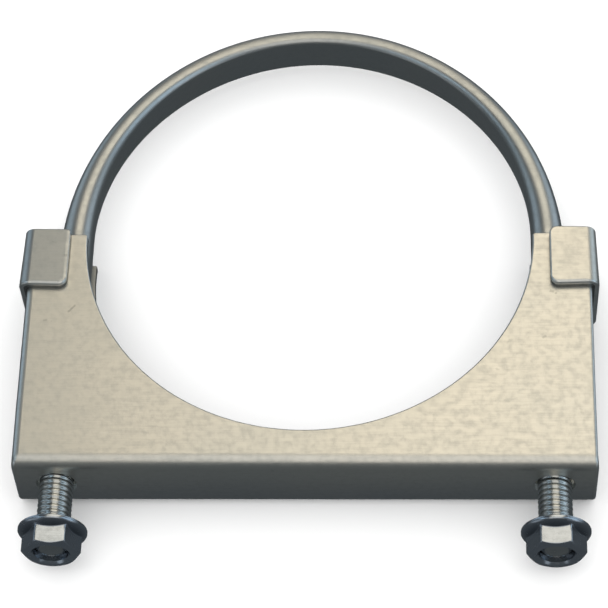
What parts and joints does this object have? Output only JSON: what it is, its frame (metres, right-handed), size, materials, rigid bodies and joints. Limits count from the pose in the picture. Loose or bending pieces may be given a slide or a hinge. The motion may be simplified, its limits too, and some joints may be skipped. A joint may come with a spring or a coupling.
{
  "type": "exhaust u-bolt clamp",
  "caption": "Saddle clamp for a round exhaust pipe: a U-bolt with a flattened bow passes through a folded steel saddle and is drawn up by flange nuts.",
  "frame": {"origin": "middle of the clamp's footprint on the surface it lies on, back plate down; the pipe's axis is parallel to Z through x = 0, y = +0.0073 m", "axes": "+Z along the pipe's axis, from the saddle's back plate to its front plate; +Y from the nuts to the top of the bow; +X to the right seen from the front plate"},
  "size_m": [0.164, 0.1772, 0.0259],
  "materials": {
    "sheet_zinc": "dull zinc plate on pressed sheet steel",
    "rod_zinc": "satin zinc plate on drawn rod",
    "nut_zinc": "bright zinc plate on forged nuts"
  },
  "bodies": {
    "saddle": {"saddle": "sheet_zinc"},
    "u_bolt": {"u_bolt": "rod_zinc"},
    "nut_left_travel": {"nut_left_flange": "nut_zinc"},
    "nut_left_turning": {"nut_left_hex": "nut_zinc"},
    "nut_right_travel": {"nut_right_flange": "nut_zinc"},
    "nut_right_turning": {"nut_right_hex": "nut_zinc"}
  },
  "joints": [
    {"name": "u_bolt_slide", "type": "slide", "parent": "saddle", "child": "u_bolt", "axis": [0, 1, 0], "range_m": [-0.0125, 0.001]},
    {"name": "nut_left_advance", "type": "slide", "parent": "u_bolt", "child": "nut_left_travel", "axis": [0, 1, 0], "range_m": [-0.004, 0.01231]},
    {"name": "nut_left_turn", "type": "hinge", "parent": "nut_left_travel", "child": "nut_left_turning", "pos_m": [-0.06826, -0.081, 0.01175], "axis": [0, 1, 0], "range_deg": [-900, 2790]},
    {"name": "nut_right_advance", "type": "slide", "parent": "u_bolt", "child": "nut_right_travel", "axis": [0, 1, 0], "range_m": [-0.004, 0.01231]},
    {"name": "nut_right_turn", "type": "hinge", "parent": "nut_right_travel", "child": "nut_right_turning", "pos_m": [0.06826, -0.081, 0.01175], "axis": [0, 1, 0], "range_deg": [-900, 2790]}
  ],
  "couplings": [
    {"joint": "nut_left_advance", "follows": "nut_left_turn", "m_per_rad": 0.00025266},
    {"joint": "nut_right_advance", "follows": "nut_right_turn", "m_per_rad": 0.00025266}
  ]
}
